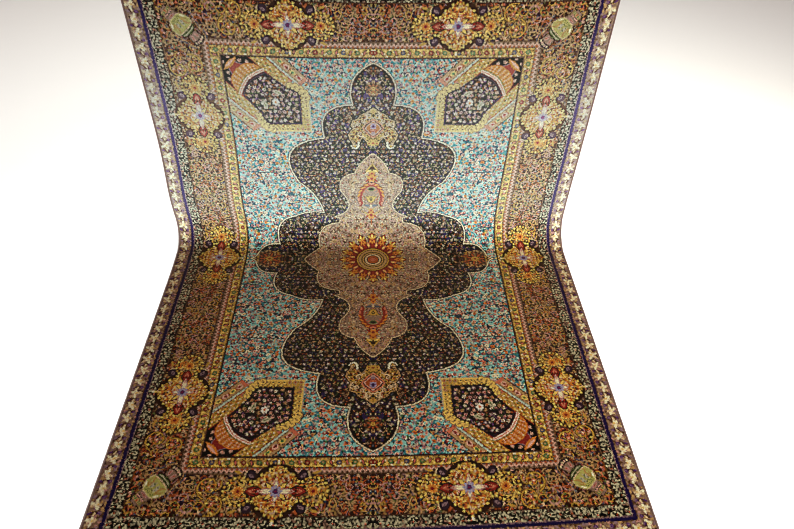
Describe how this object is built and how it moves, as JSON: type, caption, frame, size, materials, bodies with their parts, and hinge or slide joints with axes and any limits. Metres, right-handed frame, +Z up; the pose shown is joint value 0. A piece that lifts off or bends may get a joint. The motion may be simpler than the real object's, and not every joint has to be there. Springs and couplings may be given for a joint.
{
  "type": "silk pile rug",
  "caption": "Rectangular knotted silk-pile rug with overcast side edges, its front half laid flat and its back half drawn upright over a soft bend.",
  "frame": {"origin": "middle of the whole rug's footprint, on the floor it lies on", "axes": "+X across the rug, +Y from its laid end towards its upright half, +Z up"},
  "size_m": [1.5472, 1.2692, 1.0475],
  "materials": {
    "silk_pile": "cut silk pile with a nap, in a traditional medallion and corner design",
    "overcast_yarn": "overcast yarn"
  },
  "bodies": {
    "root": {"rug": "silk_pile", "overcast_left": "overcast_yarn", "overcast_right": "overcast_yarn"}
  },
  "joints": []
}
